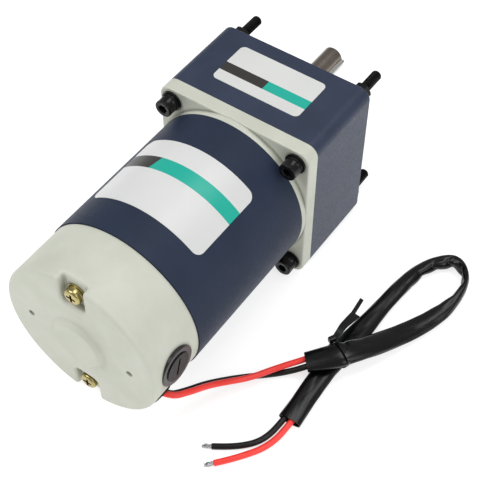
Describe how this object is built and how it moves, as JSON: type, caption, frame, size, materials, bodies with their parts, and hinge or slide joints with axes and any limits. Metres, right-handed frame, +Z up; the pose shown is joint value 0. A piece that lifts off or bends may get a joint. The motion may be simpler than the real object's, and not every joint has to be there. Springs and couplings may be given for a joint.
{
  "type": "geared dc motor",
  "caption": "Brushed DC motor with a square spur gearbox: keyed offset output shaft, long mounting screws, bare label plates and a tied, sleeved flying lead.",
  "frame": {"origin": "centre of the gear case's front mounting face, on the motor's axis", "axes": "+Y out of the front face along the output shaft, +X to the side the leads leave, +Z up; the floor the motor lies on is z = -0.040 m"},
  "size_m": [0.1516, 0.1968, 0.0802],
  "materials": {
    "gear_case_paint": "semi-gloss enamel",
    "tube_paint": "semi-gloss enamel",
    "cast_aluminium": "die-cast, satin",
    "machined_aluminium": "machined",
    "black_oxide_steel": "black oxide, oiled",
    "yellow_zinc_steel": "yellow passivated zinc",
    "ground_steel": "ground",
    "key_steel": "drawn",
    "gear_steel": "cut",
    "bearing_steel": "polished",
    "sintered_bronze": "sintered",
    "nitrile_rubber": "matt",
    "ferrite": "matt",
    "laminated_steel": "stacked laminations",
    "copper": "drawn",
    "tinned_copper": "tinned strands",
    "carbon": "pressed carbon",
    "spring_steel": "drawn",
    "phenolic_black": "moulded",
    "phenolic_brown": "moulded, glossy",
    "label_foil": "satin foil",
    "red_pvc": "semi-gloss",
    "black_pvc": "semi-gloss",
    "sleeve_pvc": "soft, semi-matt",
    "nylon_black": "glossy"
  },
  "bodies": {
    "housing": {"gearbox_case": "gear_case_paint", "gearbox_plate": "machined_aluminium", "plate_screws": "black_oxide_steel", "layshaft_1_front_bush": "sintered_bronze", "layshaft_1_rear_bush": "sintered_bronze", "layshaft_2_front_bush": "sintered_bronze", "layshaft_2_rear_bush": "sintered_bronze", "output_seal": "nitrile_rubber", "output_front_bearing_outer": "bearing_steel", "output_rear_bearing_outer": "bearing_steel", "mounting_screws": "black_oxide_steel", "mounting_spring_washers": "black_oxide_steel", "mounting_flat_washers": "black_oxide_steel", "mounting_nuts": "black_oxide_steel", "front_bracket": "cast_aluminium", "motor_tube": "tube_paint", "rear_cap": "cast_aluminium", "through_bolts": "yellow_zinc_steel", "through_bolt_washers": "yellow_zinc_steel", "through_bolt_spring_washers": "yellow_zinc_steel", "magnet_right": "ferrite", "magnet_left": "ferrite", "brush_holder_right": "phenolic_black", "brush_holder_left": "phenolic_black", "brush_cap_right": "phenolic_brown", "brush_cap_left": "phenolic_brown", "brush_right": "carbon", "brush_left": "carbon", "brush_spring_right": "spring_steel", "brush_spring_left": "spring_steel", "armature_front_bearing_outer": "bearing_steel", "armature_rear_bearing_outer": "bearing_steel", "gearbox_label": "label_foil", "motor_label": "label_foil", "lead_grommet": "nitrile_rubber", "red_lead": "red_pvc", "black_lead": "black_pvc", "lead_sleeve": "sleeve_pvc", "cable_tie": "nylon_black", "tinned_ends": "tinned_copper"},
    "armature": {"armature_shaft": "ground_steel", "armature_core": "laminated_steel", "armature_windings": "copper", "commutator": "copper", "armature_front_bearing_inner": "bearing_steel", "armature_front_bearing_balls": "bearing_steel", "armature_rear_bearing_inner": "bearing_steel", "armature_rear_bearing_balls": "bearing_steel"},
    "layshaft_1_body": {"layshaft_1": "gear_steel", "layshaft_1_gear": "gear_steel"},
    "layshaft_2_body": {"layshaft_2": "gear_steel", "layshaft_2_gear": "gear_steel"},
    "output": {"output_shaft": "ground_steel", "output_gear": "gear_steel", "output_key": "key_steel", "output_front_bearing_inner": "bearing_steel", "output_front_bearing_balls": "bearing_steel", "output_rear_bearing_inner": "bearing_steel", "output_rear_bearing_balls": "bearing_steel"}
  },
  "joints": [
    {"name": "armature_spin", "type": "hinge", "parent": "housing", "child": "armature", "pos_m": [0, 0, 0], "axis": [0, 1, 0], "continuous": true},
    {"name": "layshaft_1_spin", "type": "hinge", "parent": "housing", "child": "layshaft_1_body", "pos_m": [-0.01591, 0, -0.01591], "axis": [0, 1, 0], "continuous": true},
    {"name": "layshaft_2_spin", "type": "hinge", "parent": "housing", "child": "layshaft_2_body", "pos_m": [0.00865, 0, -0.00739], "axis": [0, 1, 0], "continuous": true},
    {"name": "output_spin", "type": "hinge", "parent": "housing", "child": "output", "pos_m": [0, 0, 0.015], "axis": [0, 1, 0], "continuous": true}
  ],
  "couplings": [
    {"joint": "layshaft_1_spin", "follows": "armature_spin", "ratio": -0.33333},
    {"joint": "layshaft_2_spin", "follows": "armature_spin", "ratio": 0.1},
    {"joint": "output_spin", "follows": "armature_spin", "ratio": -0.033333}
  ]
}
